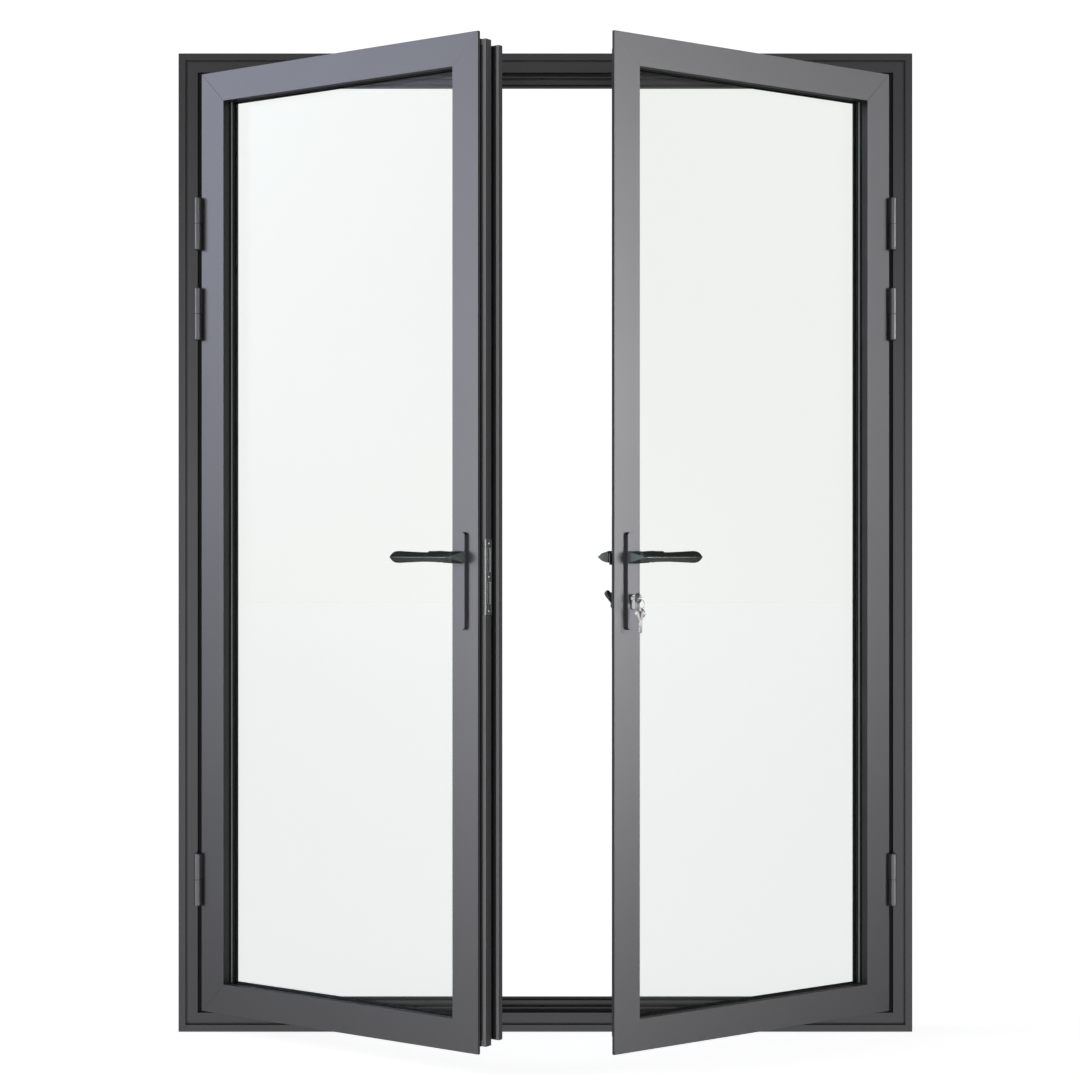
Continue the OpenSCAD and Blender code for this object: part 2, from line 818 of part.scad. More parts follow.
on_right_leaf() key();
on_right_leaf() thumb_turn();
on_right_leaf() key_ring();
on_right_leaf() spare_key();
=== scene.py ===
import json
import math

import bmesh
import bpy
from mathutils import Matrix, Vector


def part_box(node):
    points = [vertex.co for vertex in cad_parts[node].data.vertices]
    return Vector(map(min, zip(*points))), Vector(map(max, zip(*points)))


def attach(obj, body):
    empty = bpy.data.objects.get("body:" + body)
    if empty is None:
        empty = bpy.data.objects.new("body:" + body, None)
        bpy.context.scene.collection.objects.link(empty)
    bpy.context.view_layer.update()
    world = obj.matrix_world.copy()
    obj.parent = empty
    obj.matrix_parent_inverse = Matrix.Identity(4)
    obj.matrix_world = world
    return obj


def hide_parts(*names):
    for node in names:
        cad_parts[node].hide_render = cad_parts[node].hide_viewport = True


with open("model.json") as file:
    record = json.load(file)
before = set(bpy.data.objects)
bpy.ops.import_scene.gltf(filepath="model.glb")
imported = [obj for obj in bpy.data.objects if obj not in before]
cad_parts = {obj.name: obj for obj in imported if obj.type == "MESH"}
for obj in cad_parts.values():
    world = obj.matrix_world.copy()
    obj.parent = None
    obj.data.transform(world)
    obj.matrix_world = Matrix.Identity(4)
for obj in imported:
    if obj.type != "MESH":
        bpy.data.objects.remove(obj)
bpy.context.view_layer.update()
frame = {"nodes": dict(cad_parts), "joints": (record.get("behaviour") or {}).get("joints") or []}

# Lengths below are millimetres unless a name says otherwise; MM turns them into metres.
# Inside a leaf, u runs from the hinge axis to the meeting edge, v from the leaf's front face to
# its back, and z is up. Each leaf's own space is worked out from its joints in the record.
MM = 0.001
JOINTS = {joint["name"]: joint for joint in frame["joints"]}
SIDES = {"left": 1, "right": -1}
HINGE_EDGE = 4
MEETING_EDGE = 848
LEAF_BACK = 60
LEAF_LOW, LEAF_HIGH = (corner[2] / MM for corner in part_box("left_hinge_stile"))
STRIKE_LOW, STRIKE_HIGH = (corner[2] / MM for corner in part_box("strike_plate"))

# Sections that the added seals and lines follow: distance in from the leaf's edge, and v.
GLASS_EDGE = 72
OUTER_LIP_V = 22.6
INNER_LIP_V = 49.6
SPACER_EDGE = 69.5
SPACER_MIDDLE_V = 32.4
STRIKE_FACE = 860.5
STRIKE_AXIS_V = 25.5
LIP_V = 15
SECOND_FRONT_V = 46
FACEPLATE_FACE = 830
FACEPLATE_SCREW_V = 23
FACEPLATE_SCREWS = (969, 1251)
HINGE_HEIGHTS = (375, 1760, 1981)
HINGE_AXIS_V = -10
BARREL_HALF = 62.5
THUMB_FACE_V = 66.9


def leaf_space(side):
    """Matrix from a leaf's own millimetres (u, v, z) to the row frame."""
    hinge = JOINTS[f"{side}_leaf_hinge"]
    axis = Vector(hinge["pos_m"])
    angle = math.radians(-hinge["range_deg"][0])
    u = Vector((SIDES[side] * math.cos(angle), -math.sin(angle), 0))
    v = Vector((SIDES[side] * math.sin(angle), math.cos(angle), 0))
    spindle = Vector(JOINTS[f"{side}_lever_turn"]["pos_m"])
    origin = axis + v * (spindle - axis).dot(v)
    origin.z = 0
    turn = Matrix((u, v, (0, 0, 1))).transposed().to_4x4()
    return Matrix.Translation(origin) @ turn @ Matrix.Scale(MM, 4)


SPACE = {side: leaf_space(side) for side in SIDES}


def in_leaf(side, joint):
    """Place of a joint's axis in a leaf's own millimetres."""
    return SPACE[side].inverted() @ Vector(JOINTS[joint]["pos_m"])


SPINDLE = in_leaf("left", "left_lever_turn")
CYLINDER = in_leaf("right", "key_turn")
RING_TOP = in_leaf("right", "ring_swing")
SPARE_TOP = in_leaf("right", "spare_key_swing")


# ---------- materials ----------

def linear(hex_colour):
    """Linear RGBA of an sRGB hex colour."""
    parts = [int(hex_colour[i:i + 2], 16) / 255 for i in (1, 3, 5)]
    return [c / 12.92 if c <= 0.04045 else ((c + 0.055) / 1.055) ** 2.4 for c in parts] + [1.0]


def add(tree, kind, inputs=None, stops=None, **settings):
    """Adds a node. Inputs are values, or the sockets that link to them; stops are for a ramp."""
    node = tree.nodes.new(kind)
    for name, value in settings.items():
        setattr(node, name, value)
    for socket, value in (inputs or {}).items():
        if isinstance(value, bpy.types.NodeSocket):
            tree.links.new(value, node.inputs[socket])
        else:
            node.inputs[socket].default_value = value
    if stops:
        elements = node.color_ramp.elements
        while len(elements) < len(stops):
            elements.new(1)
        for element, (place, colour) in zip(elements, stops):
            element.position = place
            element.color = colour
    return node


def new_material(name):
    """An empty material, its tree and its output node."""
    material = bpy.data.materials.new(name)
    material.use_nodes = True
    material.node_tree.nodes.clear()
    output = material.node_tree.nodes.new("ShaderNodeOutputMaterial")
    return material, material.node_tree, output


def grain(tree, size_mm, detail=2.0):
    """Noise whose grains are about size_mm across, on the object's own coordinates."""
    place = add(tree, "ShaderNodeTexCoord")
    return add(tree, "ShaderNodeTexNoise",
               {"Vector": place.outputs["Object"], "Scale": 1 / (size_mm * MM), "Detail": detail,
                "Roughness": 0.55})


SPECK_MM = 3
CLOUD_MM = 180


def coated_metal(name, low, high, roughness, metallic, speck_mm=SPECK_MM, cloud_mm=CLOUD_MM):
    """Fine-textured metallic powder coat: colour drifts slowly, the specks scatter highlights.
    Real specks are well under a millimetre; they are drawn at 2 or 3 mm, as coarse as shows."""
    material, tree, output = new_material(name)
    cloud = grain(tree, cloud_mm)
    speck = grain(tree, speck_mm, 4.0)
    colour = add(tree, "ShaderNodeMix", {"Factor": cloud.outputs["Fac"], 6: linear(low),
                                         7: linear(high)}, data_type="RGBA")
    gloss = add(tree, "ShaderNodeMapRange", {"Value": speck.outputs["Fac"],
                                             "To Min": roughness - 0.03,
                                             "To Max": roughness + 0.03})
    bump = add(tree, "ShaderNodeBump", {"Height": speck.outputs["Fac"], "Strength": 0.06,
                                        "Distance": 0.2 * MM})
    shader = add(tree, "ShaderNodeBsdfPrincipled",
                 {"Base Color": colour.outputs[2], "Roughness": gloss.outputs["Result"],
                  "Normal": bump.outputs["Normal"], "Metallic": metallic})
    tree.links.new(shader.outputs["BSDF"], output.inputs["Surface"])
    return material


def leaf_coat():
    """Anthracite metallic powder coat on extruded aluminium: soft broad sheen along each bar."""
    return coated_metal("leaf_powder_coat", "#7a7a7c", "#7e7e80", 0.31, 0.9)


def frame_coat():
    """The same coat on the frame, a darker batch."""
    return coated_metal("frame_powder_coat", "#68686a", "#6c6c6e", 0.32, 0.9)


def meeting_coat_with_painted_light():
    """The leaf's coat on the meeting profile, satin down its sides. Its front faces carry painted
    light: a lighter, matt colour that stands in for the light those fronts would catch.
    """
    material, tree, output = new_material("meeting_profile_coat_painted_light_fronts")
    place = add(tree, "ShaderNodeTexCoord")
    # Painted light: a mask of the faces that look forward, out of the leaf's front.
    forward = SPACE["left"].to_3x3() @ Vector((0, -1, 0))
    facing = add(tree, "ShaderNodeVectorMath", {0: place.outputs["Normal"],
                                                1: forward.normalized()},
                 operation="DOT_PRODUCT")
    front = add(tree, "ShaderNodeMapRange", {"Value": facing.outputs["Value"], "From Min": 0.8,
                                             "From Max": 0.95})
    cloud = grain(tree, CLOUD_MM)
    speck = grain(tree, SPECK_MM, 4.0)
    sides = add(tree, "ShaderNodeMix", {"Factor": cloud.outputs["Fac"], 6: linear("#77777a"),
                                        7: linear("#7c7c7f")}, data_type="RGBA")
    # The fronts get the pale #c2c2c4 and lose their metal below: painted light, not the coat's own
    # colour.
    colour = add(tree, "ShaderNodeMix", {"Factor": front.outputs["Result"], 6: sides.outputs[2],
                                         7: linear("#c2c2c4")}, data_type="RGBA")
    metal = add(tree, "ShaderNodeMapRange", {"Value": front.outputs["Result"], "To Min": 0.9,
                                             "To Max": 0.0})
    bump = add(tree, "ShaderNodeBump", {"Height": speck.outputs["Fac"], "Strength": 0.06,
                                        "Distance": 0.2 * MM})
    shader = add(tree, "ShaderNodeBsdfPrincipled",
                 {"Base Color": colour.outputs[2], "Metallic": metal.outputs["Result"],
                  "Roughness": 0.45, "Normal": bump.outputs["Normal"]})
    tree.links.new(shader.outputs["BSDF"], output.inputs["Surface"])
    return material


def hinge_coat():
    """Satin coat on the hinge barrels: tighter highlights down each barrel."""
    return coated_metal("hinge_satin_coat", "#8a8a8e", "#909094", 0.34, 0.9, 2, 40)


def plate_coat():
    """Powder coat on the zinc backplates, the same colour as the leaf."""
    return coated_metal("backplate_powder_coat", "#808084", "#848488", 0.36, 0.9, 2, 60)


def lever_coat():
    """Satin green-grey coat on the cast levers: dark facets, bright ridges."""
    return coated_metal("lever_satin_coat", "#727a77", "#7a827f", 0.26, 0.85, 2, 30)


def thumb_coat():
    """Satin green-grey coat on the cast thumb-turn."""
    return coated_metal("thumb_turn_coat", "#5f6f6c", "#667673", 0.34, 0.7, 2, 20)


def float_glass():
    """Clear soda-lime float glass: a faint green body, mirror-smooth faces."""
    material, tree, output = new_material("float_glass")
    through = add(tree, "ShaderNodeBsdfTransparent", {"Color": (0.982, 0.989, 0.982, 1)})
    shine = add(tree, "ShaderNodeBsdfGlossy", {"Color": (0.5, 0.5, 0.5, 1), "Roughness": 0.02})
    facing = add(tree, "ShaderNodeLayerWeight", {"Blend": 0.5})
    steep = add(tree, "ShaderNodeMath", {0: facing.outputs["Facing"], 1: 5.0}, operation="POWER")
    amount = add(tree, "ShaderNodeMath", {0: steep.outputs["Value"], 1: 0.96, 2: 0.04},
                 operation="MULTIPLY_ADD")
    ripple = grain(tree, 250)
    bump = add(tree, "ShaderNodeBump", {"Height": ripple.outputs["Fac"], "Strength": 0.02,
                                        "Distance": 0.1 * MM})
    tree.links.new(bump.outputs["Normal"], shine.inputs["Normal"])
    both = add(tree, "ShaderNodeMixShader", {0: amount.outputs["Value"],
                                             1: through.outputs["BSDF"], 2: shine.outputs["BSDF"]})
    tree.links.new(both.outputs["Shader"], output.inputs["Surface"])
    return material


def dull_metal(name, low, high, roughness, grain_mm, stretch=(1, 1, 1), metallic=1.0):
    """Bare or plated metal with a drawn or rolled grain, longer where stretch is small."""
    material, tree, output = new_material(name)
    place = add(tree, "ShaderNodeTexCoord")
    scaled = add(tree, "ShaderNodeMapping", {"Vector": place.outputs["Object"], "Scale": stretch})
    lines = add(tree, "ShaderNodeTexNoise", {"Vector": scaled.outputs["Vector"],
                                             "Scale": 1 / (grain_mm * MM), "Detail": 3.0})
    colour = add(tree, "ShaderNodeMix", {"Factor": lines.outputs["Fac"], 6: linear(low),
                                         7: linear(high)}, data_type="RGBA")
    gloss = add(tree, "ShaderNodeMapRange", {"Value": lines.outputs["Fac"],
                                             "To Min": roughness - 0.05,
                                             "To Max": roughness + 0.05})
    bump = add(tree, "ShaderNodeBump", {"Height": lines.outputs["Fac"], "Strength": 0.05,
                                        "Distance": 0.1 * MM})
    shader = add(tree, "ShaderNodeBsdfPrincipled",
                 {"Base Color": colour.outputs[2], "Roughness": gloss.outputs["Result"],
                  "Normal": bump.outputs["Normal"], "Metallic": metallic})
    tree.links.new(shader.outputs["BSDF"], output.inputs["Surface"])
    return material


def nickel_plate():
    """Polished nickel plate on keys, ring and cylinder: bright, with faint polishing marks."""
    return dull_metal("polished_nickel", "#dcdcda", "#e6e6e4", 0.16, 1.5)


def strike_steel():
    """Polished stainless strike plate: a mirror with a fine long grain."""
    return dull_metal("polished_stainless", "#96989a", "#a2a4a6", 0.2, 0.8, (1, 1, 0.1))


def zinc_plate():
    """Zinc-plated lock steel: greyer than nickel, with a vertical rolling grain."""
    return dull_metal("zinc_plated_steel", "#a3a7aa", "#b3b6b8", 0.36, 0.8, (1, 1, 0.1))


def mill_aluminium():
    """Bare extruded aluminium in the corner cleats."""
    return dull_metal("mill_aluminium", "#b0b1b2", "#bcbdbe", 0.42, 1.0, (1, 1, 0.2))


def spacer_strip():
    """Dark painted aluminium spacer bar between the panes: a dark rim round the glass."""
    return dull_metal("spacer_bar", "#25322f", "#2d3a37", 0.5, 1.0, (0.2, 0.2, 0.2), 0.2)


def moulded(name, low, high, roughness, grain_mm):
    """Rubber or plastic: matt, with a fine mould texture."""
    material, tree, output = new_material(name)
    texture = grain(tree, grain_mm, 3.0)
    colour = add(tree, "ShaderNodeMix", {"Factor": texture.outputs["Fac"], 6: linear(low),
                                         7: linear(high)}, data_type="RGBA")
    bump = add(tree, "ShaderNodeBump", {"Height": texture.outputs["Fac"], "Strength": 0.15,
                                        "Distance": 0.2 * MM})
    shader = add(tree, "ShaderNodeBsdfPrincipled",
                 {"Base Color": colour.outputs[2], "Roughness": roughness,
                  "Normal": bump.outputs["Normal"]})
    tree.links.new(shader.outputs["BSDF"], output.inputs["Surface"])
    return material


def seal_rubber():
    """Extruded EPDM seals: nearly black, with a waxy low sheen."""
    return moulded("epdm_rubber", "#131414", "#1b1c1c", 0.62, 2)


def cap_nylon():
    """Black moulded nylon end caps and bearing rings."""
    return moulded("black_nylon", "#161616", "#202020", 0.5, 1.5)


def spacer_edge():
    """Pale satin strip along the middle of the spacer bar: the line seen between the panes."""
    return dull_metal("spacer_seam", "#d8deda", "#e4e9e6", 0.45, 1.0, (0.2, 0.2, 0.2), 0.0)


def keep_nylon():
    """White moulded nylon liners in the strike plate's slots."""
    return moulded("white_nylon", "#f0f1f0", "#f6f7f6", 0.4, 1.5)


LOOKS = {
    "frame_coat": frame_coat(), "leaf_coat": leaf_coat(), "glass": float_glass(),
    "spacer": spacer_strip(), "gasket": seal_rubber(), "hinge_coat": hinge_coat(),
    "lever": lever_coat(), "plate_coat": plate_coat(), "lock_steel": zinc_plate(),
    "bright_steel": nickel_plate(), "cleat": mill_aluminium(), "cap": cap_nylon(),
    "thumb": thumb_coat(), "strike": strike_steel(), "keep": keep_nylon(),
    "meeting": meeting_coat_with_painted_light(), "spacer_line": spacer_edge(),
}


# ---------- CAD nodes ----------

def look_of(node):
    """Which look a carried-over CAD node gets, by what it is."""
    exact = {
        "left_meeting_profile": "meeting", "strike_plate": "strike",
        "strike_screws": "bright_steel", "lock_cylinder": "lock_steel",
        "cylinder_plug": "bright_steel", "key": "bright_steel", "spare_key": "bright_steel",
        "key_ring": "bright_steel", "thumb_turn": "thumb", "hinge_pins": "lock_steel",
        "left_spindle": "lock_steel", "right_spindle": "lock_steel",
    }
    if node in exact:
        return exact[node]
    for word, look in (("pane", "glass"), ("spacer", "spacer"), ("gasket", "gasket"),
                       ("cleats", "cleat"), ("end_caps", "cap"), ("knuckles", "hinge_coat"),
                       ("lever", "lever"), ("backplate", "plate_coat"), ("rosette", "plate_coat"),
                       ("bolt", "lock_steel"), ("case", "lock_steel"), ("frame_", "frame_coat")):
        if word in node:
            return look
    return "leaf_coat"


def finish_cad_node(node, soften):
    """Gives a CAD node its look and breaks its sharp edges by soften millimetres."""
    shape = frame["nodes"][node]
    shape.data.materials.clear()
    shape.data.materials.append(LOOKS[look_of(node)])
    weld = shape.modifiers.new("weld", "WELD")
    weld.merge_threshold = 0.01 * MM
    flatten = shape.modifiers.new("flatten", "DECIMATE")
    flatten.decimate_type = "DISSOLVE"
    flatten.angle_limit = math.radians(0.5)
    soften_edges(shape, soften)


def soften_edges(shape, width, segments=2, angle=30):
    """Rounds a shape's sharp edges and keeps its flats flat."""
    bevel = shape.modifiers.new("edges", "BEVEL")
    bevel.width = width * MM
    bevel.segments = segments
    bevel.limit_method = "ANGLE"
    bevel.angle_limit = math.radians(angle)
    bevel.use_clamp_overlap = True
    normals = shape.modifiers.new("normals", "WEIGHTED_NORMAL")
    normals.weight = 60
    normals.keep_sharp = False


EDGE = {"frame_coat": 0.5, "leaf_coat": 0.4, "glass": 0.4, "plate_coat": 0.7, "hinge_coat": 0.5,
        "gasket": 0.4, "bright_steel": 0.25}
for node in frame["nodes"]:
    finish_cad_node(node, EDGE.get(look_of(node), 0.3))


# ---------- making pieces ----------

def finish_piece(mesh, name, body, slot, look=None, replaces=(), space=None):
    """Places a mesh, turns its faces outwards and gives it its body and look; the slot names the
    look when none is given.
    """
    shape = bmesh.new()
    shape.from_mesh(mesh)
    if space is not None:
        bmesh.ops.transform(shape, matrix=space, verts=shape.verts)
    bmesh.ops.remove_doubles(shape, verts=shape.verts, dist=0.005 * MM)
    bmesh.ops.recalc_face_normals(shape, faces=shape.faces)
    for face in shape.faces:
        face.smooth = True
    final = bpy.data.meshes.new(name)
    shape.to_mesh(final)
    shape.free()
    final.materials.append(LOOKS[look or slot])
    piece = bpy.data.objects.new(name, final)
    bpy.context.scene.collection.objects.link(piece)
    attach(piece, body)
    if replaces:
        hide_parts(*replaces)
    return piece


def loft(shape, rings, hollow=False):
    """Skins a closed shell over rings of equally many points, capped or joined round if hollow."""
    rows = [[shape.verts.new(point) for point in ring] for ring in rings]
    count = len(rows[0])
    if hollow:
        rows.append(rows[0])
    for row, following in zip(rows, rows[1:]):
        for i in range(count):
            j = (i + 1) % count
            shape.faces.new((row[i], row[j], following[j], following[i]))
    if not hollow:
        shape.faces.new(rows[0])
        shape.faces.new(list(reversed(rows[-1])))


def placed(mesh):
    """An object that shows a mesh while other pieces are made from it."""
    item = bpy.data.objects.new("part", mesh)
    bpy.context.scene.collection.objects.link(item)
    return item


def joined(parts, cuts=()):
    """One closed mesh from several overlapping ones, less the cuts."""
    first = placed(parts[0])
    objects = []
    for operation, meshes in (("UNION", parts[1:]), ("DIFFERENCE", cuts)):
        for mesh in meshes:
            step = first.modifiers.new("step", "BOOLEAN")
            step.operation = operation
            step.solver = "EXACT"
            step.object = placed(mesh)
            objects.append(step.object)
    return evaluated(first, objects)


def evaluated(source, extras=()):
    """The mesh of an object after its modifiers; the objects themselves are removed."""
    depsgraph = bpy.context.evaluated_depsgraph_get()
    mesh = bpy.data.meshes.new_from_object(source.evaluated_get(depsgraph))
    for item in set(extras) | {source}:
        bpy.data.objects.remove(item)
    return mesh


def mesh_of(build):
    """A mesh from a function that fills a bmesh."""
    shape = bmesh.new()
    build(shape)
    bmesh.ops.recalc_face_normals(shape, faces=shape.faces)
    mesh = bpy.data.meshes.new("part")
    shape.to_mesh(mesh)
    shape.free()
    return mesh


def skin(rings, hollow=False):
    """The mesh of a shell over rings."""
    return mesh_of(lambda shape: loft(shape, rings, hollow))


def circle_points(radius, count=48):
    """Points round a circle about the origin."""
    return [(radius * math.cos(math.tau * i / count), radius * math.sin(math.tau * i / count))
            for i in range(count)]


def cut_plate(outlines, thickness, edge):
    """A flat plate with soft edges from closed outlines; inner outlines are holes."""
    curve = bpy.data.curves.new("plate", "CURVE")
    curve.dimensions = "2D"
    curve.fill_mode = "BOTH"
    curve.extrude = thickness / 2 - edge
    curve.bevel_depth = edge
    curve.bevel_resolution = 1
    curve.offset = -edge
    for outline in outlines:
        spline = curve.splines.new("POLY")
        spline.points.add(len(outline) - 1)
        for point, (x, y) in zip(spline.points, outline):
            point.co = (x, y, 0, 1)
        spline.use_cyclic_u = True
    plate = bpy.data.objects.new("plate", curve)
    bpy.context.scene.collection.objects.link(plate)
    return evaluated(plate)


# ---------- levers ----------

# Along a grip, away from the spindle: distance, top, bottom, ridge's distance out, side's.
# The top runs straight to a collar a third of the way along, and the bottom steps at the neck.
GRIP = (
    (-3, 1.6, -1.6, 57.2, 55), (3, 5, -5, 60.7, 52), (8, 9, -9, 60.9, 49), (17, 14, -13, 61, 44),
    (22, 14, -11.4, 61, 44.5), (32, 14, -10.7, 61, 45), (59, 14, -10.4, 61, 45.5),
    (62, 11.2, -10.2, 60.6, 46.5), (84, 11.4, -10.4, 60.4, 46.5), (116, 12.6, -11.7, 60.2, 46),
    (146, 14, -13.2, 59.4, 46), (155, 13.2, -12.4, 58, 46.5), (161, 10.6, -10, 56, 47.5),
    (165.5, 6.8, -6.4, 54, 48.5), (168, 2.2, -2, 52, 49),
)
# The grip's back is flat at GRIP_BACK and sweeps outwards from TIP_START on. Its two back edges
# are chamfered by BACK_CHAMFER, and a ridge of RIDGE_HALF each way runs along its front.
GRIP_BACK = 37
BACK_CHAMFER = 4
BACK_NARROWING = 0.62
RIDGE_HALF = 0.9
TIP_START = 146
TIP_SWEEP = 0.36
# The neck at each distance out: half its height, where its flat end lies, half that flat's height.
# The rear levers have a slimmer neck.
NECK = {
    "front": ((10.4, 13.6, 13.2, 13.2), (20, 13.9, 11.3, 10.8), (44, 12.6, 6.6, 4.5),
              (53, 5, 4.2, 1.8), (57, 1.4, 3.2, 0.4)),
    "rear": ((10.4, 13, 13.2, 12.6), (22, 12, 10.9, 9.8), (34, 10.3, 8.6, 7), (45, 8.2, 6.4, 4.2),
             (53, 4.2, 4.2, 1.8), (57, 1.2, 3.2, 0.4)),
}
NECK_INSIDE = -12
NECK_SHOULDER = 5
# A rear neck stands on a rosette: its root, up to ROOT_END out, moves down onto it.
ROOT_END = 12
ROOT_DROP = 6
ROSETTE_FACE = 4.4


def grip_ring(along, top, bottom, out, side):
    """One section of the grip."""
    back = GRIP_BACK + max(along - TIP_START, 0) * TIP_SWEEP
    corner = back + BACK_CHAMFER
    return [Vector((-along, z, y)) for z, y in (
        (top * BACK_NARROWING, back), (top, corner), (top, side), (RIDGE_HALF, out),
        (-RIDGE_HALF, out), (bottom, side), (bottom, corner), (bottom * BACK_NARROWING, back))]


def neck_ring(out, half, end, flat):
    """One section of the neck."""
    side = end - NECK_SHOULDER
    return [Vector((x, z, out)) for x, z in (
        (end, flat), (end, -flat), (side, -half), (NECK_INSIDE, -half), (NECK_INSIDE, half),
        (side, half))]


def lever_mesh(place):
    """A cast lever on the spindle axis, its ridge along the middle of the grip."""
    sections = ([grip_ring(*station) for station in GRIP],
                [neck_ring(*station) for station in NECK[place]])
    return joined([skin(rings) for rings in sections])


def make_lever(side, place):
    """Front levers stand out from the face at v = 0, rear ones from the leaf's back."""
    rear = place == "rear"
    out = 1 if rear else -1
    lift = LEAF_BACK if rear else 0
    stand = Matrix(((1, 0, 0, SPINDLE.x), (0, 0, out, lift), (0, 1, 0, SPINDLE.z), (0, 0, 0, 1)))
    name = f"{side}_{place}_lever"
    mesh = lever_mesh(place)
    if rear:
        for vertex in mesh.vertices:
            if vertex.co.z < ROOT_END:
                vertex.co.z = max(vertex.co.z - ROOT_DROP, ROSETTE_FACE)
    lever = finish_piece(mesh, f"{name}_cast", f"{side}_lever", "lever", replaces=(name,),
                         space=SPACE[side] @ stand)
    soften_edges(lever, 0.5, 2, 9)


for side in SIDES:
    for place in ("front", "rear"):
        make_lever(side, place)


# ---------- keys, ring and thumb-turn ----------

KEY_T = 2.2
KEY_EDGE = 0.35
BOW_R = 12.5
BOW_OPENING = 28
HOLE_OFF = 7.5
HOLE_R = 3
BLADE_H = 8
BLADE_END = 45.5
SHOULDER = 5
BITTINGS = (2.2, 1.2, 2.8, 1.6, 2.4)
BITTING_PITCH = 4.5
FIRST_BITTING = 6.5
SPARE_TURN = -40
RING_WIRE = 0.55


def key_outline():
    """Outline of a key: a three-lobed bow, a shoulder, and a blade cut with five bittings."""
    steps = 72
    bow = []
    for i in range(steps + 1):
        turn = math.radians(BOW_OPENING + (360 - 2 * BOW_OPENING) * i / steps)
        radius = BOW_R * (0.95 + 0.05 * math.cos(3 * turn + math.pi))
        bow.append((radius * math.cos(turn), radius * math.sin(turn)))
    half = BLADE_H / 2
    top = [(BOW_R - 1, -SHOULDER), (BOW_R + 3, -SHOULDER), (BOW_R + 3, -half)]
    cuts = []
    for i, depth in enumerate(BITTINGS):
        start = BOW_R + FIRST_BITTING + BITTING_PITCH * i
        cuts += [(start, half), (start + 1.2, half - depth), (start + 2.4, half - depth),
                 (start + 3.6, half)]
    tip = [(BLADE_END - 3, -half), (BLADE_END, -half + 3), (BLADE_END, half - 2.5),
           (BLADE_END - 3, half)]
    low = [(BOW_R + 3, half), (BOW_R + 3, SHOULDER), (BOW_R - 1, SHOULDER)]
    return bow + top + tip + list(reversed(cuts)) + low


def key_mesh():
    """A key lying flat, its bow on the origin and its blade towards +X."""
    hole = [(x - HOLE_OFF, y) for x, y in circle_points(HOLE_R, 24)]
    return cut_plate([key_outline(), hole], KEY_T, KEY_EDGE)


def make_keys():
    """The key in the cylinder, and the spare key that hangs edge-on from the ring."""
    bow_v = RING_TOP.y + HOLE_OFF
    upright = Matrix(((0, 0, 1, CYLINDER.x), (1, 0, 0, bow_v), (0, 1, 0, CYLINDER.z),
                      (0, 0, 0, 1)))
    finish_piece(key_mesh(), "cylinder_key", "key", "bright_steel", replaces=("key",),
                 space=SPACE["right"] @ upright)
    turned = Matrix.Rotation(math.radians(SPARE_TURN), 4, "Z")
    hanging = Matrix(((0, 0, 1, CYLINDER.x), (0, 1, 0, RING_TOP.y),
                      (-1, 0, 0, SPARE_TOP.z - HOLE_OFF), (0, 0, 0, 1)))
    about = Matrix.Translation((CYLINDER.x, RING_TOP.y, 0))
    hang = about @ turned @ about.inverted() @ hanging
    finish_piece(key_mesh(), "spare_flat_key", "spare", "bright_steel", replaces=("spare_key",),
                 space=SPACE["right"] @ hang)


def make_split_ring():
    """Two turns of flattened wire, as a split ring is wound."""
    radius = (RING_TOP.z - SPARE_TOP.z) / 2
    turns = 2
    steps = 96
    curve = bpy.data.curves.new("ring", "CURVE")
    curve.dimensions = "3D"
    curve.bevel_depth = RING_WIRE
    curve.bevel_resolution = 3
    curve.use_fill_caps = True
    spline = curve.splines.new("POLY")
    spline.points.add(steps * turns)
    for i, point in enumerate(spline.points):
        turn = math.tau * i / steps
        rise = (i / (steps * turns) - 0.5) * 2 * RING_WIRE
        point.co = (radius * math.cos(turn), rise, radius * math.sin(turn), 1)
    ring = bpy.data.objects.new("ring", curve)
    bpy.context.scene.collection.objects.link(ring)
    place = Matrix.Translation((CYLINDER.x, RING_TOP.y, RING_TOP.z - radius))
    finish_piece(evaluated(ring), "split_ring", "ring", "bright_steel", replaces=("key_ring",),
                 space=SPACE["right"] @ place)


def make_thumb_turn():
    """A round boss that grows into a wing, its crest pulled towards its upper end."""
    lean = math.radians(30)
    # Distance out, half the width, half the height, how far the middle lies up.
    stations = ((0, 8, 8, 0), (3.2, 8, 8, 0), (3.6, 6.2, 15, 0), (5, 6, 19, 0), (8, 5.8, 17.6, 1.2),
                (12, 5.2, 13, 4), (16, 4.4, 8, 7), (18.6, 3.2, 4.6, 8.6), (19.6, 1.6, 2.4, 9))
    rings = []
    for out, across, length, shift in stations:
        ring = []
        for x, z in circle_points(1, 40):
            flat = math.copysign(abs(x) ** 0.8, x) * across
            tall = math.copysign(abs(z) ** 0.9, z) * length + shift
            ring.append(Vector((flat * math.cos(lean) + tall * math.sin(lean),
                                THUMB_FACE_V + out,
                                tall * math.cos(lean) - flat * math.sin(lean))))
        rings.append(ring)
    place = Matrix.Translation((CYLINDER.x, 0, CYLINDER.z))
    turn = finish_piece(skin(rings), "thumb_turn_wing", "thumb", "thumb", replaces=("thumb_turn",),
                        space=SPACE["right"] @ place)
    soften_edges(turn, 0.5, 2, 35)


make_keys()
make_split_ring()
make_thumb_turn()


# ---------- pieces that repeat, or follow a path ----------

FLOAT = "NodeSocketFloat"
# Flat work is drawn in x and y and stands in the leaf as u and z; its own z is the leaf's v.
UPRIGHT = Matrix(((1, 0, 0, 0), (0, 0, 1, 0), (0, 1, 0, 0), (0, 0, 0, 1)))


